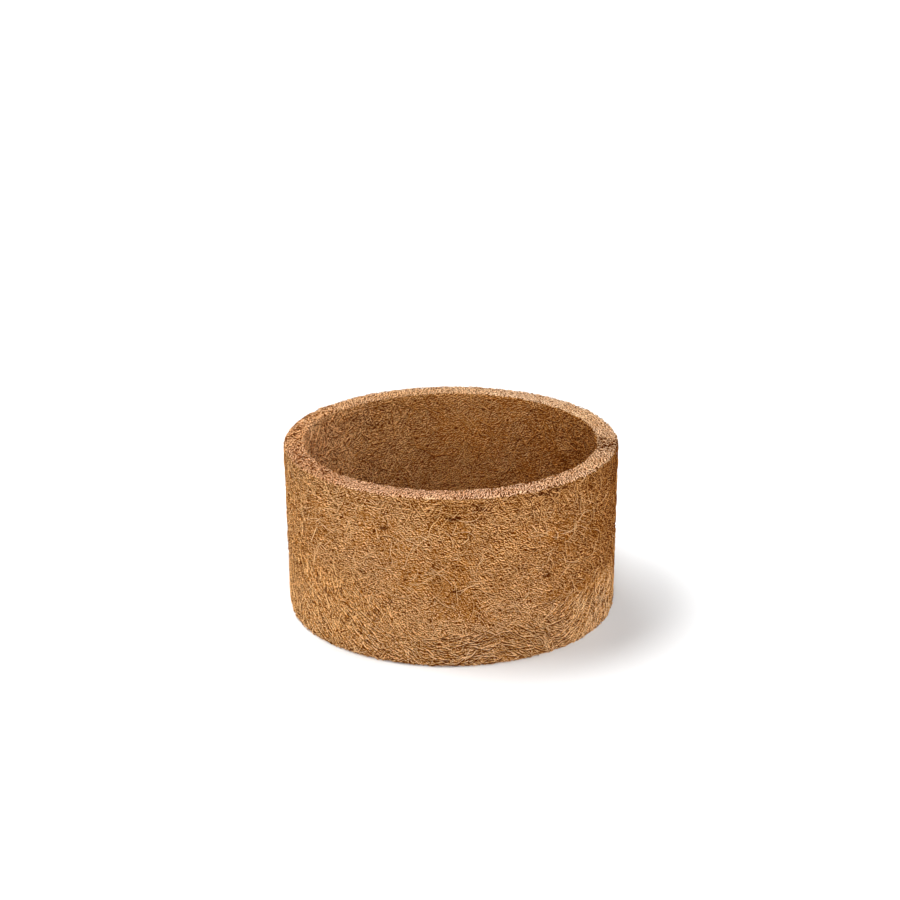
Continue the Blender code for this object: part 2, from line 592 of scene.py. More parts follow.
@dataclass(frozen=True)
class FleeceTrees:
    """The trees that lay a fleece of fibres on a face, out of the groups that strew and spin them."""

    strewn: NodeTree
    spun: NodeTree

    def start(self, name: str, inputs: dict) -> tuple:
        """Starts a tree with the fibres strewn over a flat field.

        Args:
            name: The tree's name.
            inputs: The inputs that the tree has besides those of a fleece.

        Returns:
            A writer on the tree, the tree's inputs and the fibres.
        """
        fleece = FleeceSizes().inputs()
        inputs = {"Geometry": "Geometry"} | fleece | inputs | {"Material": "Material"}
        t, given = new_tree(name, TreeKind.GEOMETRY, inputs, {"Mesh": "Geometry"})
        return t, given, t.group(self.strewn, {label: given[label] for label in fleece})["Fibres"]

    def finish(self, t: Tree, kept: tuple, out: Socket, place: Socket, material: Socket) -> NodeTree:
        """Trims the fibres, lays them in their place and spins them thick.

        Args:
            t: The writer on the tree.
            kept: The fibres, and the test that tells which points are cut off.
            out: Which way the face looks at each point.
            place: Where each point lies.
            material: The material's socket.

        Returns:
            The tree.
        """
        fibres, off = kept
        trimmed = t.node("GeometryNodeDeleteGeometry", {"Geometry": fibres, "Selection": off}, domain="POINT")
        noted = t.stored(trimmed.outputs[0], "out", out, "FLOAT_VECTOR")
        spun = t.group(self.spun, {"Fibres": t.placed(noted, place), "Material": material})
        t.node("NodeGroupOutput", {"Mesh": spun["Mesh"]})
        return t.tree

    def rolled(self) -> NodeTree:
        """Writes the tree that rolls a flat fleece round the pot, over the section of its wall.

        Returns:
            The tree. U runs round the pot from the joint, and V runs along the section.
        """
        t, given, fibres = self.start("rolled_fleece", {
            "Section": "Object", "Strip Radius": 76 * MM, "Seam Bearing": 0.0, "Seam Slant": 0.0,
            "Seam Radius": 71 * MM, "Seam Gap": 0.5 * MM, "First V": 0.0, "Last V": 1.0,
        })
        u, v, w = t.split(t.node("GeometryNodeInputPosition").outputs[0])
        strip = t.times(given["Strip Radius"], 2 * pi)
        off = t.compared(u, given["Seam Gap"], "LESS_THAN")
        for value, limit, operation in (
            (u, t.minus(strip, given["Seam Gap"]), "GREATER_THAN"),
            (v, given["First V"], "LESS_THAN"),
            (v, given["Last V"], "GREATER_THAN"),
        ):
            past = t.compared(value, limit, operation)
            off = t.node("FunctionNodeBooleanMath", {0: off, 1: past}, operation="OR").outputs[0]

        section = t.node("GeometryNodeObjectInfo", {"Object": given["Section"]}).outputs["Geometry"]
        sample = t.node("GeometryNodeSampleCurve", {"Curves": section, "Length": v}, mode="LENGTH",
                        data_type="FLOAT", use_all_curves=True)
        at_r, _, at_z = t.split(sample.outputs["Position"])
        way_r, _, way_z = t.split(sample.outputs["Tangent"])
        radius = t.minus(at_r, t.times(way_z, w))
        lean = t.times(t.minus(radius, given["Seam Radius"]), given["Seam Slant"])
        bearing = t.plus(t.plus(given["Seam Bearing"], lean), t.math("DIVIDE", u, given["Strip Radius"]))
        cosine, sine = t.math("COSINE", bearing), t.math("SINE", bearing)
        outward = t.times(way_z, -1.0)
        out = t.combine(t.times(outward, cosine), t.times(outward, sine), way_r)
        place = t.combine(t.times(radius, cosine), t.times(radius, sine), t.times_plus(way_r, w, at_z))
        return self.finish(t, (fibres, off), out, place, given["Material"])

    def flat(self) -> NodeTree:
        """Writes the tree that lays a flat fleece on a round face.

        Returns:
            The tree. It trims the fleece to a radius and lays it at a height, facing up or down.
        """
        inputs = {"Trim Radius": 60 * MM, "Face Height": 0.0, "Facing": 1.0}
        t, given, fibres = self.start("flat_fleece", inputs)
        x, y, w = t.split(t.node("GeometryNodeInputPosition").outputs[0])
        off = t.compared(t.reach(x, y), given["Trim Radius"], "GREATER_THAN")
        height = t.times_plus(w, given["Facing"], given["Face Height"])
        out = t.combine(0.0, 0.0, given["Facing"])
        return self.finish(t, (fibres, off), out, t.combine(x, y, height), given["Material"])


def turned_mat_tree() -> NodeTree:
    """Writes the tree that turns a section round the pot's axis and gives the mat its lumps and its grain.

    Returns:
        The tree, which makes one closed body.
    """
    t, given = new_tree("turned_mat", TreeKind.GEOMETRY, {
        "Geometry": "Geometry", "Section": "Object", "Turn Steps": 480, "Edge": 0.9 * MM,
        "Core Radius": 10 * MM, "Lump Scale": 90.0, "Lump Height": 0.3 * MM, "Grain Scale": 600.0,
        "Grain Height": 0.2 * MM, "Floor": 0.1 * MM, "Merge Distance": 0.01 * MM, "Material": "Material",
    }, {"Mesh": "Geometry"})
    section = t.node("GeometryNodeObjectInfo", {"Object": given["Section"]}).outputs["Geometry"]
    fine = t.node("GeometryNodeResampleCurve", {"Curve": section, "Length": given["Edge"]}, mode="LENGTH")
    r, _, z = t.split(t.node("GeometryNodeInputPosition").outputs[0])
    upright = t.placed(fine.outputs[0], t.combine(t.minus(r, given["Core Radius"]), t.times(z, -1.0)))
    path = t.node("GeometryNodeCurvePrimitiveCircle",
                  {"Resolution": given["Turn Steps"], "Radius": given["Core Radius"]})
    ring = t.node("GeometryNodeCurveToMesh", {"Curve": path.outputs[0], "Profile Curve": upright})
    whole = t.node("GeometryNodeMergeByDistance",
                   {"Geometry": ring.outputs[0], "Distance": given["Merge Distance"]})
    place = t.node("GeometryNodeInputPosition").outputs[0]
    lump = t.times(t.minus(t.noise(place, given["Lump Scale"]), 0.5), given["Lump Height"])
    grain = t.times(t.minus(t.noise(place, given["Grain Scale"], rough=0.6), 0.5), given["Grain Height"])
    push = t.scaled(t.node("GeometryNodeInputNormal").outputs[0], t.times(t.plus(lump, grain), 2.0))
    x, y, z = t.split(t.moved(place, push))
    rough = t.placed(whole.outputs[0], t.combine(x, y, t.highest(z, given["Floor"])))
    t.node("NodeGroupOutput", {"Mesh": t.finished(rough, given["Material"])})
    return t.tree


def grown(name: str, tree: NodeTree, inputs: dict) -> Piece:
    """Runs a geometry node tree and keeps its result as a plain mesh.

    Args:
        name: The piece's name.
        tree: The tree.
        inputs: The value of each of the tree's named inputs.

    Returns:
        The piece, at the origin, with no modifier.
    """
    bed = bpy.data.objects.new(name + ".bed", bpy.data.meshes.new(name + ".bed"))
    bpy.context.scene.collection.objects.link(bed)
    modifier = bed.modifiers.new("grow", "NODES")
    modifier.node_group = tree
    sockets = {s.name: s.identifier for s in tree.interface.items_tree if s.in_out == "INPUT"}
    for label, value in inputs.items():
        modifier[sockets[label]] = value
    depsgraph = bpy.context.evaluated_depsgraph_get()
    result = bed.evaluated_get(depsgraph)
    mesh = bpy.data.meshes.new_from_object(result, preserve_all_data_layers=True, depsgraph=depsgraph)
    mesh.name = name
    piece = bpy.data.objects.new(name, mesh)
    bpy.context.scene.collection.objects.link(piece)
    bpy.data.objects.remove(bed)
    return piece


# Effects that the finishes share


def strip_place_group() -> NodeTree:
    """Writes the place on the rolled strip: round the pot from its joint, out from the axis, and up.

    Returns:
        The shader group. Its seam falls on the joint, where the strip's own fibres end. Where Flat is 1, it
        puts out the place on a level mat.
    """
    inputs = {"Seam Bearing": 0.0, "Strip Radius": 71 * MM, "Flat": 0.0}
    t, given = new_tree("strip_place", TreeKind.SHADER, inputs, {"Place": "Vector"})
    place = t.node("ShaderNodeTexCoord").outputs["Object"]
    x, y, z = t.split(t.turned(place, "Z", t.minus(pi, given["Seam Bearing"])))
    bearing = t.math("ARCTAN2", y, x)
    rolled = t.combine(t.times(bearing, given["Strip Radius"]), t.reach(x, y), z)
    chosen = t.node("ShaderNodeMix", {0: given["Flat"], 4: rolled, 5: t.combine(x, z, y)}, data_type="VECTOR")
    t.node("NodeGroupOutput", {"Place": chosen.outputs[1]})
    return t.tree


def strand_print_group() -> NodeTree:
    """Writes the fine pattern of short strands that lie across each other, the highest on top, with painted
    light and shade: each strand lit on one edge and shaded on the other, lower strands darker, painted relief
    on the fine grain and on the cut ends, a painted shadow under each curl and painted shade in small pits.

    Returns:
        The shader group: Strand, from a dark, shaded gap (0) to a pale, lit strand (1), at a place on the
            strip,
        and Calm, 1 where the strands differ least.
    """
    t, given = new_tree("strand_print", TreeKind.SHADER, {
        "Place": "Vector", "Scale": 1400.0, "Slimness": 0.06, "Bend": 0.5 * MM, "Combing": 1.2,
        "Lit Edge": 0.8, "Tone Spread": 0.1, "Depth": 0.15, "Fine Scale": 2800.0, "Fine": 2.4, "Curls": 0.4,
        "Flecks": 0.8, "Calming": 0.65, "Straw": 0.0, "Cut": 0.0, "Seam": 0.0, "Side": 0.0,
        "Cut Scale": 1750.0, "Cut Grain": 3.4,
    }, {"Strand": "Float", "Calm": "Float"})
    given_place = given["Place"]
    bent = t.vector_math("SUBTRACT", t.noise(given_place, scale=220.0, detail=1.0, colour=True), MIDDLE)
    place = t.moved(given_place, t.scaled(bent, t.times(given["Bend"], 2.0)))
    place = t.stretched(place, (1.0, 0.4, 1.0))
    straw = t.patches(t.moved(given_place, (0.7, 0.2, 0.5)), scale=40.0, detail=1.5, low=0.45, high=0.60)
    straw = t.times_plus(straw, 0.4, given["Straw"], clamp=True)
    # Painted light and shade: each strand is lit along one edge and shaded along the other.
    edge = t.times(given["Lit Edge"], t.times_plus(straw, 2.4, 0.5))
    curls = t.times(given["Curls"], t.times_plus(straw, -0.5, 1.1))

    top = tone = None
    for turn in (0.0, 0.5, -0.5, 1.05, -1.05):
        long = t.stretched(t.turned(place, "Y", turn), t.combine(given["Slimness"], 1.0, 1.0))
        long = t.moved(long, (turn, 0.3, 0.7))
        cell = t.node("ShaderNodeTexVoronoi", {"Vector": long, "Scale": given["Scale"]}).outputs
        lot, own, _ = t.split(cell["Color"])
        _, _, across = t.split(t.vector_math("SUBTRACT", long, cell["Position"]))
        here = t.noise(t.moved(place, (turn, turn, 0.1)), scale=160.0, detail=0.0)
        lift = t.minus(lot, cell["Distance"])
        rise = t.times_plus(here, given["Combing"], lift)
        own = t.times(t.minus(own, 0.5), given["Tone Spread"])
        # Painted shade: strands that lie lower are darker.
        own = t.times_plus(t.minus(lift, 0.3), given["Depth"], own)
        value = t.times_plus(t.times(across, given["Scale"]), edge, own)
        if top is None:
            top, tone = rise, value
            continue
        tone = t.mix(t.math("GREATER_THAN", rise, top), tone, value)
        top = t.highest(top, rise)

    calm = t.patches(given_place, scale=48.0, detail=2.5, low=0.38, high=0.60, start=1.0, end=0.0)
    rough = t.minus(1.22, t.times(calm, given["Calming"]))
    # Painted relief: a noise minus the same noise shifted a fraction of a millimetre, so that each grain is
    # lit on one side and shaded on the other.
    relief_shaded_grains = []
    for stretch in (0.65, 0.28):
        fine = t.stretched(place, (stretch, 1.0, 1.0))
        lower = t.moved(fine, (0.1 * MM, 0.0, 0.35 * MM))
        relief_shaded_grains.append(t.minus(t.noise(fine, given["Fine Scale"], detail=0.0),
                              t.noise(lower, given["Fine Scale"], detail=0.0)))
    tone = t.times_plus(t.mix(given["Side"], *relief_shaded_grains), given["Fine"], tone)
    shadow_drop = 0.32 * MM
    shadow = t.times(curls, -1.0)
    for start, scale, slimness in ((0.3, 500.0, -17.0), (1.3, 350.0, -24.0), (2.3, 250.0, -34.0)):
        for drop, gain in ((0.0, curls), (shadow_drop, shadow)):
            spot = t.moved(t.stretched(place, (0.75, 1.0, 1.0)), (start + drop / 2, 0.2, 0.6 + drop))
            curl = t.math("ABSOLUTE", t.minus(t.noise(spot, scale, detail=0.0), 0.5))
            tone = t.times_plus(t.times_plus(curl, slimness, 1.0, clamp=True), gain, tone)
    # Painted shade in small, sparse pits.
    pit_shade = t.vector_math("MULTIPLY_ADD", place, (0.6, 1.0, 1.0), (0.9, 0.4, 0.2))
    pit_shade = t.patches(pit_shade, scale=560.0, detail=1.0, low=0.68, high=0.74)
    tone = t.minus(t.times(tone, rough), t.times(pit_shade, given["Flecks"]))

    # The rim's cut ends: a grain that is lit on one side and shaded on the other, as painted relief.
    ends = t.stretched(given_place, (1.0, 0.6, 1.0))
    lower = t.moved(ends, (0.2 * MM, 0.2 * MM, 0.0))
    grain = t.minus(*(t.noise(spot, given["Cut Scale"], detail=0.5) for spot in (ends, lower)))
    tone = t.mix(given["Cut"], tone, t.times(grain, given["Cut Grain"]))
    gaps = t.stretched(given_place, (1.0, 0.15, 1.0))
    gaps = t.patches(gaps, scale=1200.0, detail=0.0, low=0.50, high=0.58)
    tone = t.minus(tone, t.times(gaps, given["Seam"]))
    t.node("NodeGroupOutput", {"Strand": t.plus(tone, 0.5, clamp=True), "Calm": calm})
    return t.tree


@dataclass(frozen=True)
class MatPaintedLight:
    """How the mat's tone differs from face to face and round the pot: mostly painted light and shade,
    lifted where a side is to look lit and lowered where it is to look shaded.
    """

    sizes: PotSizes
    shade_bearing: float = 115.0
    rim_band: tuple = (1.4 * MM, 0.6 * MM)
    shoulder_band: tuple = (16 * MM, 4 * MM)
    wall_band: float = 0.5 * MM
    low_band: tuple = (8 * MM, 36 * MM)
    foot_band: tuple = (6 * MM, 40 * MM)

    def toward(self, t: Tree, way: tuple, bearing: float, wide: float, narrow: float) -> Socket:
        """Gives a mask that is 1 near a bearing.

        Args:
            t: The writer on the group.
            way: The cosine and the sine of the bearing of each place.
            bearing: Where the mask is 1, in radians.
            wide: How far from there the mask starts, in degrees.
            narrow: How far from there it reaches 1, in degrees.

        Returns:
            The mask.
        """
        right, back = way
        near = t.times_plus(right, cos(bearing), t.times(back, sin(bearing)))
        return t.ramp(near, cos(radians(wide)), cos(radians(narrow)))

    def group(self) -> NodeTree:
        """Writes the painted light and shade, with the face masks and the contrast.

        Returns:
            The shader group: Lift, mostly painted light and shade, to add to a tone, Tint, to multiply a
                colour by,
            with painted light in it, Cut, 1 on the cut face of the rim, Gain, to multiply the strands'
            contrast by,
            Straw, 1 where the strands are straight and bold, Seam, 1 on the cut face by the scarf, and Side,
            1 where the wall faces right or left.
        """
        t, given = new_tree("mat_drift", TreeKind.SHADER, {
            "Outside Lift": -0.17, "Outside Turn": -0.03, "Outside End": -0.34, "Foot Lift": 0.10,
            "Right Foot Lift": 0.26, "Shoulder Lift": -0.115, "Inside Lift": -0.23, "Inside Glow": 0.72,
            "Inside Back": 0.11, "Inside Right": -0.08, "Inside Shade": -0.12, "Rim Lift": 0.08,
            "Rim Turn": 0.12, "Rim Side": 0.08, "Rim Left": -0.09, "Outside Gain": 0.75, "Least Gain": -0.1,
            "Low Gain": 0.25, "Inside Gain": 2.6, "Rim Gain": 1.25, "Flat": 0.0,
            "Outside Tint": (1.0, 0.99, 0.94, 1.0), "Inside Tint": (1.0, 0.91, 0.72, 1.0),
            "Rim Tint": (1.02, 1.00, 1.15, 1.0), "Far Rim Tint": (1.02, 1.10, 1.26, 1.0),
            "Inside Left Tint": (1.07, 1.04, 1.18, 1.0), "Side Tint": (1.0, 0.93, 0.77, 1.0),
        }, {"Lift": "Float", "Tint": "Color", "Cut": "Float", "Gain": "Float", "Straw": "Float",
            "Seam": "Float", "Side": "Float"})
        sizes = self.sizes
        x, y, z = t.split(t.node("ShaderNodeTexCoord").outputs["Object"])
        reach = t.highest(t.reach(x, y), 1 * MM)
        turned = t.math("DIVIDE", t.minus(1.0, given["Flat"]), reach)
        right, back = t.times(x, turned), t.times(y, turned)
        left = t.highest(t.times(right, -1.0), 0.0)
        rightward, backward = t.highest(right, 0.0), t.highest(back, 0.0)
        middle, band = sizes.middle_radius, self.wall_band
        within = t.ramp(reach, middle - band, middle + band, 1.0, 0.0)
        cut = t.ramp(z, *(sizes.height - depth for depth in self.rim_band))
        shoulder = t.ramp(z, *(sizes.height - depth for depth in self.shoulder_band))

        # Painted light and shade on the outside: darker towards the right and much darker at the right edge,
        # and lighter low down on the left and on the right.
        outer = t.times_plus(right, given["Outside Turn"], given["Outside Lift"])
        outer = t.times_plus(t.math("POWER", rightward, 9.0), given["Outside End"], outer)
        for side, share, amount in ((left, 0.5, "Foot Lift"), (rightward, 0.45, "Right Foot Lift")):
            low = t.times(side, t.ramp(z, 0.0, sizes.height * share, 1.0, 0.0))
            outer = t.times_plus(low, given[amount], outer)
        # Darker in a band just under the rim.
        outer = t.times_plus(shoulder, given["Shoulder Lift"], outer)

        # Painted light and shade inside: the whole inside darker, the left side lighter as if lit over the
        # right rim, the back lighter, the right darker, and painted shade round the shade bearing.
        far_left = t.squared(left)
        painted_light_left = t.squared(far_left)
        inner = t.times_plus(painted_light_left, given["Inside Glow"], given["Inside Lift"])
        inner = t.times_plus(t.squared(backward), given["Inside Back"], inner)
        inner = t.times_plus(t.squared(rightward), given["Inside Right"], inner)
        shaded = self.toward(t, (right, back), radians(self.shade_bearing), wide=28.0, narrow=5.0)
        inner = t.times_plus(shaded, given["Inside Shade"], inner)

        # Painted light and shade on the rim: lighter at the back and at the sides, darker at the left.
        upper = t.times_plus(back, given["Rim Turn"], given["Rim Lift"])
        upper = t.times_plus(t.squared(right), given["Rim Side"], upper)
        upper = t.times_plus(left, given["Rim Left"], upper)

        # Painted light in the tints: the inside's deeper tint is painted bounce light, paler on the inner
        # left where it is painted lit, and the far side of the rim is paler as a painted highlight.
        left_tint = t.tinted(given["Inside Tint"], given["Inside Left Tint"])
        inside_tint = t.blend(painted_light_left, given["Inside Tint"], left_tint)
        far = t.times_plus(t.plus(right, back), 0.5, 0.5, clamp=True)
        rim_tint = t.blend(far, given["Rim Tint"], given["Far Rim Tint"])
        tint = t.blend(cut, t.blend(within, given["Outside Tint"], inside_tint), rim_tint)
        flank = t.highest(t.times(left, t.minus(1.0, within)), t.times(left, cut))
        tint = t.blend(flank, tint, t.tinted(tint, given["Side Tint"]))

        coarse = t.times_plus(left, given["Outside Gain"], given["Least Gain"])
        coarse = t.times_plus(t.ramp(z, *self.low_band, 1.0, 0.0), given["Low Gain"], coarse)
        gain = t.mix(within, coarse, t.times(far_left, given["Inside Gain"]))
        foot = t.times(t.ramp(z, *self.foot_band, 1.0, 0.0), t.times_plus(right, right, 0.2))
        straw = t.mix(within, t.plus(foot, shoulder), far_left)
        scarf = self.toward(t, (right, back), sizes.seam_bearing, wide=9.0, narrow=4.0)
        t.node("NodeGroupOutput", {
            "Lift": t.mix(cut, t.mix(within, outer, inner), upper),
            "Tint": tint,
            "Cut": cut,
            "Gain": t.plus(t.mix(cut, gain, given["Rim Gain"]), 1.0),
            "Straw": t.times(straw, t.minus(1.0, cut), clamp=True),
            "Seam": t.times(scarf, cut),
            "Side": t.squared(right),
        })
        return t.tree


def coir_tint_group() -> NodeTree:
    """Writes the colour of coir, from dark pith to pale straw, with the drifts of tone that a mat has.

    Returns:
        The shader group: Color and Roughness from a fibre's Shade, the strands' print and a place on the mat.
    """
    t, given = new_tree("coir_tint", TreeKind.SHADER, {
        "Place": "Vector", "Shade": 0.5, "Print": 0.5, "Print Weight": 0.3, "Drift Scale": 60.0, "Drift": 0.2,
        "Calm": 0.0, "Pale": 0.0, "Tint": WHITE, "Rosy Tint": (1.0, 0.97, 0.90, 1.0),
        "Plain Tint": (1.0, 1.0, 1.02, 1.0), "Rough Tint": (1.0, 0.98, 0.95, 1.0),
        "Calm Tint": (1.03, 1.06, 1.10, 1.0), "Pale Tint": (1.0, 1.06, 1.22, 1.0),
    }, {"Color": "Color", "Roughness": "Float"})
    place = given["Place"]
    drift = t.minus(t.noise(place, given["Drift Scale"], detail=3.0), 0.5)
    tone = t.times_plus(drift, given["Drift"], given["Shade"])
    tone = t.plus(tone, t.times(t.minus(given["Print"], 0.5), given["Print Weight"]), clamp=True)
    ramp = t.node("ShaderNodeValToRGB", {"Fac": tone})
    stops = ramp.color_ramp.elements
    stops.remove(stops[-1])
    stops[0].color = (0.090, 0.016, 0.000, 1.0)
    for position, colour in (
        (0.20, (0.215, 0.058, 0.002)),
        (0.40, (0.380, 0.143, 0.024)),
        (0.60, (0.590, 0.258, 0.070)),
        (0.80, (0.790, 0.425, 0.168)),
        (1.00, (0.980, 0.635, 0.345)),
    ):
        stops.new(position).color = (*colour, 1.0)
    warm = t.patches(t.moved(place, (0.11, 0.23, 0.31)), scale=35.0, detail=2.0, low=0.35, high=0.65)
    colour = t.tinted(ramp.outputs["Color"], given["Tint"])
    colour = t.tinted(colour, t.blend(warm, given["Rosy Tint"], given["Plain Tint"]))
    colour = t.tinted(colour, t.blend(given["Calm"], given["Rough Tint"], given["Calm Tint"]))
    colour = t.blend(given["Pale"], colour, t.tinted(colour, given["Pale Tint"]))
    rough = t.ramp(tone, 0.0, 1.0, start=0.85, end=0.62, smooth=False)
    t.node("NodeGroupOutput", {"Color": colour, "Roughness": rough})
    return t.tree


# Finishes


@dataclass(frozen=True)
class CoirInks:
    """The shader groups that the finishes share, for the rolled strip or for a level mat."""

    place: NodeTree
    strands: NodeTree
    # The painted light and shade by face and bearing, with the face masks.
    drift: NodeTree
    tint: NodeTree
    seam_bearing: float
    flat: float = 0.0
    slimness: float = 0.06
    cut_slimness: float = 0.7

    @classmethod
    def ground(cls, sizes: PotSizes) -> "CoirInks":
        """Writes the groups for a pot of these sizes."""
        groups = (strip_place_group(), strand_print_group(), MatPaintedLight(sizes).group(), coir_tint_group())
        return cls(*groups, sizes.seam_bearing)

    def mix(self, t: Tree, shade: object, weight: float, drift: float, scale: float,
            pale: float = 0.0) -> tuple:
        """Adds the groups to a material.

        Args:
            t: The writer on the material's tree.
            shade: The tone before the print, 0 to 1.
            weight: How much the print of strands changes the tone.
            drift: How much the tone drifts from place to place.
            scale: How fine the strands are.
            pale: How far the colour is bleached.

        Returns:
            The colour, the roughness and the height of the strands.
        """
        spot = t.group(self.place, {"Seam Bearing": self.seam_bearing, "Flat": self.flat})["Place"]
        faces = t.group(self.drift, {"Flat": self.flat})
        shared = {name: faces[name] for name in ("Straw", "Cut", "Seam", "Side")}
        slimness = t.ramp(faces["Cut"], 0.0, 1.0, self.slimness, self.cut_slimness)
        strands = t.group(self.strands, {"Place": spot, "Scale": scale, "Slimness": slimness} | shared)
        coir = t.group(self.tint, {
            "Place": spot, "Shade": t.plus(shade, faces["Lift"]), "Print": strands["Strand"],
            "Print Weight": t.times(faces["Gain"], weight), "Drift": drift, "Calm": strands["Calm"],
            "Tint": faces["Tint"], "Pale": pale,
        })
        return coir["Color"], coir["Roughness"], strands["Strand"]


def new_material(name: str) -> tuple:
    """Starts a material.

    Args:
        name: The material's name.

    Returns:
        The material, a writer on its tree, and the inputs of its Principled shader.
    """
    made = bpy.data.materials.new(name)
    made.use_nodes = True
    return made, Tree(made.node_tree), made.node_tree.nodes["Principled BSDF"].inputs


@dataclass(frozen=True)
class FibreFinish:
    """Single coir fibres, each with its own shade."""

    name: str
    darkest: float = 0.25
    palest: float = 1.00
    print_weight: float = 1.2
    print_scale: float = 1450.0
    drift: float = 0.18
    pale: float = 0.0
    gloss: float = 0.04

    def material(self, inks: CoirInks) -> Material:
        """Makes the finish.

        Args:
            inks: The groups that give coir its colour.

        Returns:
            The material.
        """
        made, t, shader = new_material(self.name)
        shade = t.node("ShaderNodeAttribute", attribute_name="shade").outputs["Fac"]
        shade = t.ramp(shade, 0.0, 1.0, self.darkest, self.palest, smooth=False)
        colour, rough, _ = inks.mix(t, shade, self.print_weight, self.drift, self.print_scale, self.pale)
        t.feed(shader["Base Color"], colour)
        t.feed(shader["Roughness"], rough)
        t.feed(shader["Specular IOR Level"], self.gloss)
        return made


@dataclass(frozen=True)
class PithFinish:
    """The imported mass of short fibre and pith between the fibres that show."""

    name: str
    tone: float = 0.50
    print_weight: float = 1.4
    print_scale: float = 1450.0
    drift: float = 0.15
    relief: float = 0.25 * MM
    gloss: float = 0.02

    def material(self, inks: CoirInks) -> Material:
        """Makes the finish.

        Args:
            inks: The groups that give coir its colour.

        Returns:
            The material.
        """
        made, t, shader = new_material(self.name)
        colour, rough, strand = inks.mix(t, self.tone, self.print_weight, self.drift, self.print_scale)
        bump = t.node("ShaderNodeBump", {"Height": strand, "Distance": self.relief, "Strength": 1.0})
        t.feed(shader["Base Color"], colour)
        t.feed(shader["Roughness"], rough)
        t.feed(shader["Normal"], bump.outputs["Normal"])
        t.feed(shader["Specular IOR Level"], self.gloss)
        return made


@dataclass(frozen=True)
class LatexFinish:
    """Dried natural latex that has soaked into the mat."""

    name: str
    tone: float = 0.28
    film: tuple = (0.80, 0.70, 0.56, 1.0)
    print_weight: float = 0.4
    print_scale: float = 1200.0
    drift: float = 0.4
    relief: float = 0.3 * MM
    smoothest: float = 0.35
    roughest: float = 0.55
    gloss: float = 0.15

    def material(self, inks: CoirInks) -> Material:
        """Makes the finish.

        Args:
            inks: The groups that give coir its colour.

        Returns:
            The material.
        """
        made, t, shader = new_material(self.name)
        place = t.node("ShaderNodeTexCoord").outputs["Object"]
        colour, _, _ = inks.mix(t, self.tone, self.print_weight, self.drift, self.print_scale)
        ripple = t.noise(place, scale=500.0, detail=3.0)
        bump = t.node("ShaderNodeBump", {"Height": ripple, "Distance": self.relief})
        t.feed(shader["Base Color"], t.tinted(colour, self.film))
        t.feed(shader["Normal"], bump.outputs["Normal"])
        t.feed(shader["Roughness"], t.patches(place, scale=250.0, detail=2.0, low=0.3, high=0.7,
                                              start=self.smoothest, end=self.roughest))
        t.feed(shader["Specular IOR Level"], self.gloss)
        return made


COIR_FIBRE = FibreFinish("coir_fibre")
BASE_FIBRE = FibreFinish("base_fibre")
STRAY_FIBRE = FibreFinish("stray_fibre", darkest=0.90, palest=1.28, print_weight=0.2, pale=0.5)
# Painted shadow: dark fibres laid just below the pale loose ones.
SHADED_FIBRE = FibreFinish("shaded_fibre", darkest=0.00, palest=0.45, print_weight=0.3)
TUFT_FIBRE = FibreFinish("tuft_fibre", darkest=0.70, palest=1.35, print_weight=0.5, pale=0.3)
TANGLED_FIBRE = FibreFinish("tangled_fibre", darkest=0.70, palest=1.10, print_weight=0.3, pale=0.1)
# Dark fibres: painted shadows under the tufts, and the dark marks on the outside.
DARK_MARK_AND_SHADOW = FibreFinish("dark_husk", darkest=-0.15, palest=0.25, print_weight=0.2)
COIR_PITH = PithFinish("coir_pith")
BASE_PITH = PithFinish("base_pith")
SEAM_LATEX = LatexFinish("dried_latex")
BEAD_LATEX = LatexFinish("latex_bead", tone=0.48, film=(0.92, 1.03, 1.60, 1.0))


# The pot


def keep(piece: Piece, replaces: tuple = ()) -> None:
    """Makes a piece ride with the pot and reports it.

    Args:
        piece: The finished piece.
        replaces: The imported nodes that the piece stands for.
    """
    if replaces:
        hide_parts(*replaces)
    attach(piece, BODY)
    piece.data.calc_loop_triangles()
    LOG.info("%s: %d triangles", piece.name, len(piece.data.loop_triangles))


@dataclass(frozen=True)
class Patch:
    """A window on one face of the wall: bearings in degrees from +X, and heights above the floor."""

    face: Face
    from_bearing: float
    to_bearing: float
    low: float
    high: float

    def fallen(self, fall: float) -> "Patch":
        """Gives the same window, lower down."""
        return replace(self, low=self.low - fall, high=self.high - fall)


@dataclass(frozen=True)
class DarkMark:
    """A dark mark on the outside, laid as short dark fibres, in degrees round and millimetres up."""

    bearing: float
    across: float
    height: float
    up: float
    count: int

    def patch(self) -> Patch:
        """Gives the mark's window."""
        return Patch(Face.OUTSIDE, self.bearing - self.across / 2, self.bearing + self.across / 2,
                     (self.height - self.up / 2) * MM, (self.height + self.up / 2) * MM)


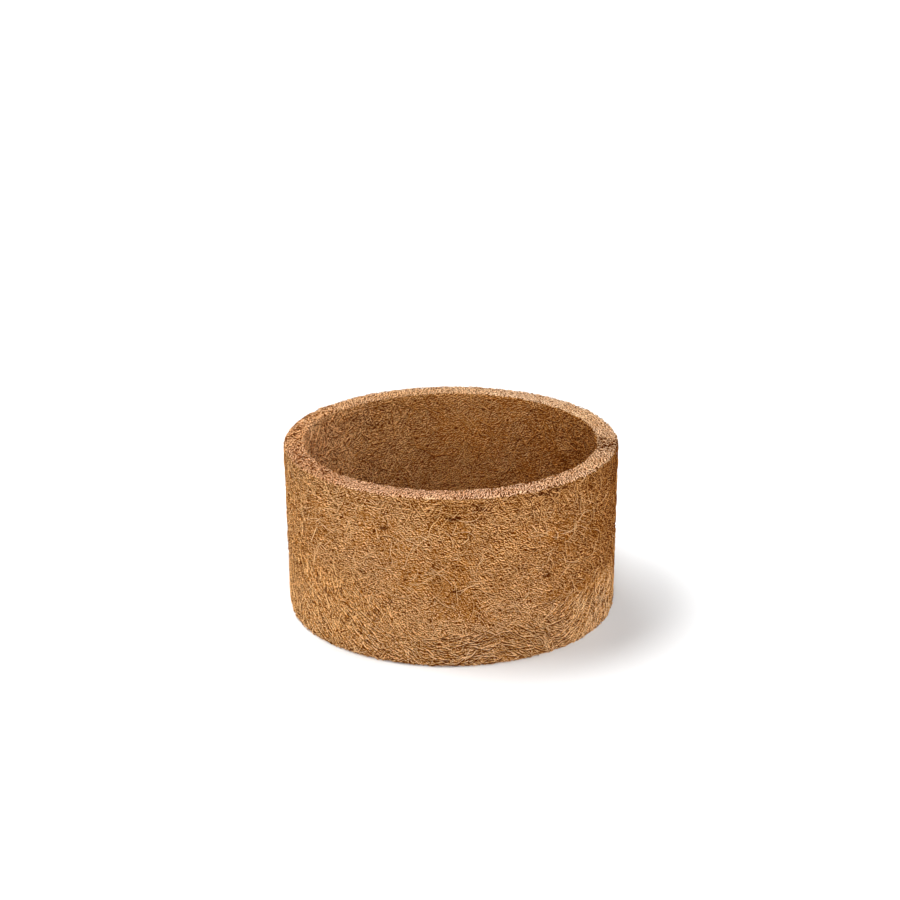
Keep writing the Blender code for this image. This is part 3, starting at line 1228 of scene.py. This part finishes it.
@dataclass
class MatWall:
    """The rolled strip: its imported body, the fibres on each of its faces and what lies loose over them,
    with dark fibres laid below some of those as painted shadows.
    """

    sizes: PotSizes
    inks: CoirInks
    few: float
    seam_gap: float = 0.5 * MM
    core_inset: float = 0.60 * MM
    core_end_inset: float = 0.25 * MM
    core_edge: float = 1.2 * MM
    core_turn_steps: int = 400
    face_margin: float = 1.5 * MM
    twin_fall: float = 0.35 * MM
    tuft_fall: float = 0.5 * MM
    long_fall: float = 0.4 * MM
    sector_seed_step: int = 50

    def build(self, turned: NodeTree, rolled: NodeTree) -> None:
        """Builds and dresses the wall.

        Args:
            turned: The tree that turns a body.
            rolled: The tree that rolls a fleece.
        """
        self.section = Section(self.sizes)
        self.section.draw()
        self.rolled = rolled
        self.build_body(turned)
        self.guide = self.section.curve("fibre_section", closed=False)
        self.shaded = SHADED_FIBRE.material(self.inks)
        self.tangled = TANGLED_FIBRE.material(self.inks)
        self.husk = DARK_MARK_AND_SHADOW.material(self.inks)
        self.build_faces()
        self.build_strays()
        self.build_tufts()
        self.build_long_fibres()
        self.build_husk_marks()
        bpy.data.objects.remove(self.guide)

    def build_body(self, turned: NodeTree) -> None:
        """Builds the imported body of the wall.

        Args:
            turned: The tree that turns a body.
        """
        core = Section(self.sizes, inset=self.core_inset, end_inset=self.core_end_inset)
        core.draw()
        guide = core.curve("wall_section", closed=True)
        inputs = {"Section": guide, "Edge": self.core_edge, "Turn Steps": self.core_turn_steps}
        keep(grown("wall_pith", turned, inputs | {"Material": COIR_PITH.material(self.inks)}),
             ("side_wall",))
        bpy.data.objects.remove(guide)

    def lay(self, name: str, layer: FleeceSizes, field_size: tuple, limits: tuple, finish: Material) -> None:
        """Lays one fleece on the wall.

        Args:
            name: The piece's name.
            layer: How the fleece is strewn.
            field_size: The first and last U, and the first and last V, of the field that it is strewn over.
            limits: The V at which fibres are cut off below and above.
            finish: The fibres' material.
        """
        start, end, low, high = field_size
        keep(grown(name, self.rolled, layer.inputs((start, low, 0.0), (end, high, 0.0)) | {
            "Section": self.guide, "Strip Radius": self.sizes.rim_radius,
            "Seam Bearing": self.sizes.seam_bearing, "Seam Slant": self.sizes.seam_slant,
            "Seam Radius": self.sizes.middle_radius,
            "Seam Gap": self.seam_gap, "First V": limits[0], "Last V": limits[1], "Material": finish,
        }))

    def lay_face(self, name: str, face: Face, layer: FleeceSizes, finish: Material, sector: int = 0,
                 sectors: int = 1, shift: float = 0.0) -> None:
        """Lays the fibres of one face, or of one sector of it.

        Args:
            name: The piece's name.
            face: The face of the mat.
            layer: How the sector is strewn.
            finish: The fibres' material.
            sector: Which sector it is, from 0.
            sectors: The number of sectors.
            shift: How far the layer is moved along the section.
        """
        first, last = self.section.marks[face]
        strip = 2 * pi * self.sizes.rim_radius
        field_size = (strip * sector / sectors, strip * (sector + 1) / sectors, first + shift, last + shift)
        self.lay(name, layer, field_size, (first - self.face_margin, last + self.face_margin), finish)

    def lay_patch(self, name: str, patch: Patch, layer: FleeceSizes, finish: Material) -> None:
        """Lays a patch of fibres that lie their own way.

        Args:
            name: The piece's name.
            patch: Where the patch lies.
            layer: How it is strewn.
            finish: The fibres' material.
        """
        first, last = self.section.marks[patch.face]
        strip = 2 * pi * self.sizes.rim_radius
        seam = degrees(self.sizes.seam_bearing)
        bearings = (patch.from_bearing, patch.to_bearing)
        start, end = ((bearing - seam) % 360 / 360 * strip for bearing in bearings)
        if patch.face is Face.INSIDE:
            low, high = (first + patch.low - self.sizes.base_top, first + patch.high - self.sizes.base_top)
        else:
            low, high = (first + self.sizes.height - patch.high, first + self.sizes.height - patch.low)
        self.lay(name, layer, (start, end, low, high), (first, last), finish)

    def build_faces(self) -> None:
        """Builds the fibres of the four faces, the largest in sectors."""
        finish = COIR_FIBRE.material(self.inks)
        for face, sectors, count, layer in (
            (Face.OUTSIDE, 5, 16000, FleeceSizes(seed=1000)),
            (Face.INSIDE, 3, 12000, FleeceSizes(seed=2000)),
            (Face.RIM, 1, 4500, FleeceSizes(shortest=1.2 * MM, longest=4 * MM, bend=350.0, seed=3000)),
            (Face.FOOT, 1, 2500, FleeceSizes(shortest=3 * MM, longest=8 * MM, high=0.2 * MM, seed=4000)),
        ):
            for sector in range(sectors):
                share = replace(layer, count=round(count * self.few) // sectors,
                                seed=layer.seed + self.sector_seed_step * sector)
                self.lay_face(f"{face.value}_fibres_{sector + 1}", face, share, finish, sector, sectors)

    def build_strays(self) -> None:
        """Builds the loose fibres over the two large faces, with a dark one just below each as its painted
        shadow.
        """
        pale = STRAY_FIBRE.material(self.inks)
        for face, count, seed, fall, finish in (
            (Face.OUTSIDE, 1500, 7000, self.twin_fall, pale),
            (Face.INSIDE, 900, 7500, -self.twin_fall, self.tangled),
        ):
            loose = FleeceSizes(
                round(count * self.few), points=8, shortest=3 * MM, longest=14 * MM, thinnest=0.12 * MM,
                thickest=0.21 * MM, wander=0.8 * MM, wander_scale=120.0, combed=0.7, flow=4.0, low=0.35 * MM,
                high=0.60 * MM, dive=0.5 * MM, depth_shade=0.1, seed=seed,
            )
            under = replace(loose, low=0.15 * MM, high=0.40 * MM, thinnest=0.10 * MM, thickest=0.18 * MM)
            self.lay_face(f"{face.value}_stray_fibres", face, loose, finish)
            self.lay_face(f"{face.value}_shaded_fibres", face, under, self.shaded, shift=fall)

    def build_tufts(self) -> None:
        """Builds the bold tufts, with a dark fibre just below each of theirs as its painted shadow."""
        finish = TUFT_FIBRE.material(self.inks)
        top = self.sizes.height
        bold = FleeceSizes(points=7, shortest=4 * MM, longest=10 * MM, thinnest=0.18 * MM, thickest=0.29 * MM,
                           low=0.1 * MM, high=0.6 * MM, depth_shade=0.1)
        combed = replace(bold, combed=0.84, flow=2.6, even=1.0, bend=90.0)
        for name, patch, layer in (
            ("left_tuft", Patch(Face.INSIDE, 125.0, 200.0, 12 * MM, 76 * MM),
             replace(bold, count=520, seed=8000)),
            ("lower_left_tuft", Patch(Face.OUTSIDE, 205.0, 245.0, 4 * MM, 34 * MM),
             replace(combed, count=420, seed=8100, grain=0.75)),
            ("lower_right_tuft", Patch(Face.OUTSIDE, 300.0, 340.0, 3 * MM, 26 * MM),
             replace(combed, count=260, seed=8200, grain=-0.8)),
            ("foot_tuft", Patch(Face.OUTSIDE, 245.0, 300.0, 2 * MM, 16 * MM),
             replace(combed, count=280, seed=8300, grain=0.3)),
            ("rim_tuft", Patch(Face.RIM, 140.0, 222.0, top - 9 * MM, top),
             replace(bold, count=230, seed=8350, shortest=3 * MM, longest=7 * MM, bend=220.0)),
        ):
            self.lay_patch(name, patch, layer, finish)
            self.lay_patch(f"{name}_shaded", patch.fallen(self.tuft_fall), layer, self.husk)

    def build_long_fibres(self) -> None:
        """Builds the few long fibres that lie across the inside, with a dark one just below each as its
        painted shadow.
        """
        long = FleeceSizes(
            round(110 * self.few), points=10, shortest=6 * MM, longest=22 * MM, thinnest=0.12 * MM,
            thickest=0.20 * MM, bend=70.0, wander=0.8 * MM, grain=0.1, combed=0.75, flow=2.5, low=0.35 * MM,
            high=0.60 * MM, depth_shade=0.1, seed=8400,
        )
        patch = Patch(Face.INSIDE, 30.0, 150.0, 34 * MM, 76 * MM)
        self.lay_patch("inside_long_fibres", patch, long, self.tangled)
        self.lay_patch("inside_long_shaded_fibres", patch.fallen(self.long_fall), long, self.shaded)

    def build_husk_marks(self) -> None:
        """Builds the short dark fibres of the dark marks, two of which are painted shade."""
        for number, mark in enumerate((
            DarkMark(bearing=266.0, across=4.6, height=69.5, up=1.4, count=30),
            # Painted shade in a gouge.
            DarkMark(bearing=274.2, across=4.4, height=74.0, up=3.0, count=12),
            DarkMark(bearing=243.7, across=2.8, height=63.3, up=1.2, count=9),
            DarkMark(bearing=267.6, across=2.8, height=36.0, up=1.3, count=9),
            DarkMark(bearing=298.3, across=2.4, height=38.3, up=1.2, count=7),
            # Painted shadow: a dark line along the rim's outer edge at the front right.
            DarkMark(bearing=299.0, across=17.0, height=76.4, up=1.6, count=26),
        ), 1):
            bits = FleeceSizes(mark.count, shortest=1.2 * MM, longest=3.5 * MM, thinnest=0.14 * MM,
                               thickest=0.26 * MM, combed=0.8, flow=1.0, even=1.0, low=0.35 * MM,
                               high=0.60 * MM, depth_shade=0.0, seed=8500 + number)
            self.lay_patch(f"husk_bits_{number}", mark.patch(), bits, self.husk)


@dataclass
class MatBase:
    """The round of mat in the foot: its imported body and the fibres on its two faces."""

    sizes: PotSizes
    inks: CoirInks
    few: float
    inset: float = 0.4 * MM
    edge_inset: float = 0.2 * MM
    edge: float = 1.0 * MM
    turn_steps: int = 300
    fibres: int = 4000

    def build(self, turned: NodeTree, flat: NodeTree) -> None:
        """Builds and dresses the base.

        Args:
            turned: The tree that turns a body.
            flat: The tree that lays a flat fleece.
        """
        self.build_body(turned)
        count, radius = round(self.fibres * self.few), self.sizes.base_radius
        finish = BASE_FIBRE.material(self.inks)
        for name, layer, height, facing in (
            ("floor_fibres", FleeceSizes(count, seed=5000), self.sizes.base_top - self.inset, 1.0),
            ("underside_fibres", FleeceSizes(count, high=0.2 * MM, seed=6000), self.inset, -1.0),
        ):
            inputs = layer.inputs((-radius, -radius, 0.0), (radius, radius, 0.0))
            inputs |= {"Trim Radius": radius, "Face Height": height, "Facing": facing, "Material": finish}
            keep(grown(name, flat, inputs))

    def build_body(self, turned: NodeTree) -> None:
        """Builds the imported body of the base.

        Args:
            turned: The tree that turns a body.
        """
        radius, top = self.sizes.base_radius - self.edge_inset, self.sizes.base_top - self.inset
        outline = Section(self.sizes)
        outline.points = [(0.0, top), (radius, top), (radius, self.inset), (0.0, self.inset)]
        guide = outline.curve("base_section", closed=False)
        inputs = {"Section": guide, "Edge": self.edge, "Turn Steps": self.turn_steps}
        keep(grown("base_pith", turned, inputs | {"Material": BASE_PITH.material(self.inks)}),
             ("base_disc",))
        bpy.data.objects.remove(guide)


@dataclass(frozen=True)
class LatexJoints:
    """The two films of latex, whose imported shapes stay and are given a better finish."""

    inks: CoirInks

    def build(self) -> None:
        """Dresses both films."""
        for node, finish, inks in (
            ("wall_seam_latex", SEAM_LATEX, self.inks),
            ("base_joint_latex", BEAD_LATEX, replace(self.inks, flat=1.0)),
        ):
            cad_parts[node].material_slots[0].material = finish.material(inks)
            LOG.info("%s: finished", node)


# The stage


@dataclass(frozen=True)
class Lamp:
    """A soft lamp that shines from a bearing and a height above the floor, both in degrees."""

    name: str
    bearing: float
    height: float
    level: float
    softness: float

    def build(self) -> None:
        """Hangs the lamp."""
        data = bpy.data.lights.new(self.name, "SUN")
        data.energy = self.level * pi
        data.angle = radians(self.softness)
        lamp = bpy.data.objects.new(self.name, data)
        bpy.context.scene.collection.objects.link(lamp)
        turn, rise = radians(self.bearing), radians(self.height)
        source = Vector((cos(rise) * cos(turn), cos(rise) * sin(turn), sin(rise)))
        lamp.rotation_euler = source.to_track_quat("Z", "Y").to_euler()


LAMPS = (
    Lamp("low_front", bearing=270.0, height=15.0, level=0.43, softness=30.0),
    Lamp("front", bearing=270.0, height=40.0, level=0.30, softness=20.0),
    Lamp("right", bearing=347.0, height=40.0, level=0.36, softness=30.0),
    Lamp("low_back", bearing=103.0, height=15.0, level=0.15, softness=30.0),
    Lamp("high_back", bearing=135.0, height=65.0, level=0.42, softness=30.0),
    Lamp("high_left", bearing=180.0, height=58.0, level=0.48, softness=30.0),
)


@dataclass(frozen=True)
class Studio:
    """The pale floor, the soft light and the camera."""

    distance: float = 813.5 * MM
    elevation: float = radians(19.914)
    target: tuple = (-0.44 * MM, 0.0, 72.2 * MM)
    roll: float = radians(-0.374)
    lens: float = 71.31
    sensor: float = 36.0
    nearest: float = 0.01
    farthest: float = 100.0
    floor_size: float = 14.0
    floor_colour: tuple = (0.940, 0.950, 0.956, 1.0)
    floor_roughness: float = 0.9
    ambient: float = 0.0025

    def camera(self) -> None:
        """Sets the camera where the photograph was taken from."""
        data = bpy.data.cameras.new("camera")
        data.lens = self.lens
        data.sensor_width = self.sensor
        data.clip_start = self.nearest
        data.clip_end = self.farthest
        camera = bpy.data.objects.new("camera", data)
        bpy.context.scene.collection.objects.link(camera)
        back = Vector((0.0, -cos(self.elevation), sin(self.elevation)))
        camera.location = Vector(self.target) + back * self.distance
        level = Euler((pi / 2 - self.elevation, 0.0, 0.0)).to_matrix()
        camera.rotation_euler = (level @ Euler((0.0, 0.0, self.roll)).to_matrix()).to_euler()
        bpy.context.scene.camera = camera

    def floor(self) -> None:
        """Lays a plain white floor that keeps the pot's shadow."""
        bpy.ops.mesh.primitive_plane_add(size=self.floor_size)
        floor = bpy.context.object
        floor.name = "floor"
        made, t, shader = new_material("floor_white")
        t.feed(shader["Base Color"], self.floor_colour)
        t.feed(shader["Roughness"], self.floor_roughness)
        t.feed(shader["Specular IOR Level"], 0.0)
        floor.data.materials.append(made)

    def backdrop(self) -> None:
        """Puts a white background behind the pot that hardly lights it."""
        world = bpy.data.worlds.new("studio")
        bpy.context.scene.world = world
        world.use_nodes = True
        t = Tree(world.node_tree)
        ground = world.node_tree.nodes["Background"].inputs
        rays = t.node("ShaderNodeLightPath").outputs
        seen = t.highest(t.highest(rays["Is Camera Ray"], rays["Is Glossy Ray"]), rays["Is Transmission Ray"])
        t.feed(ground["Color"], WHITE)
        t.feed(ground["Strength"], t.ramp(seen, 0.0, 1.0, self.ambient, 1.0, smooth=False))

    def build(self) -> None:
        """Sets the stage."""
        bpy.context.scene.view_settings.view_transform = "Standard"
        self.camera()
        self.floor()
        self.backdrop()
        for lamp in LAMPS:
            lamp.build()


def main() -> None:
    """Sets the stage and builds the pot."""
    logging.basicConfig(level=logging.INFO, format="%(name)s %(message)s")
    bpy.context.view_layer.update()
    Studio().build()
    sizes = PotSizes.from_frame()
    LOG.info("sizes: %s", sizes)
    inks = CoirInks.ground(sizes)
    fleeces = FleeceTrees(strewn_fibres_group(), spun_fibres_group())
    turned = turned_mat_tree()
    few = 1.0
    MatWall(sizes, inks, few).build(turned, fleeces.rolled())
    MatBase(sizes, replace(inks, flat=1.0), few).build(turned, fleeces.flat())
    LatexJoints(inks).build()


if __name__ == "__main__":
    main()
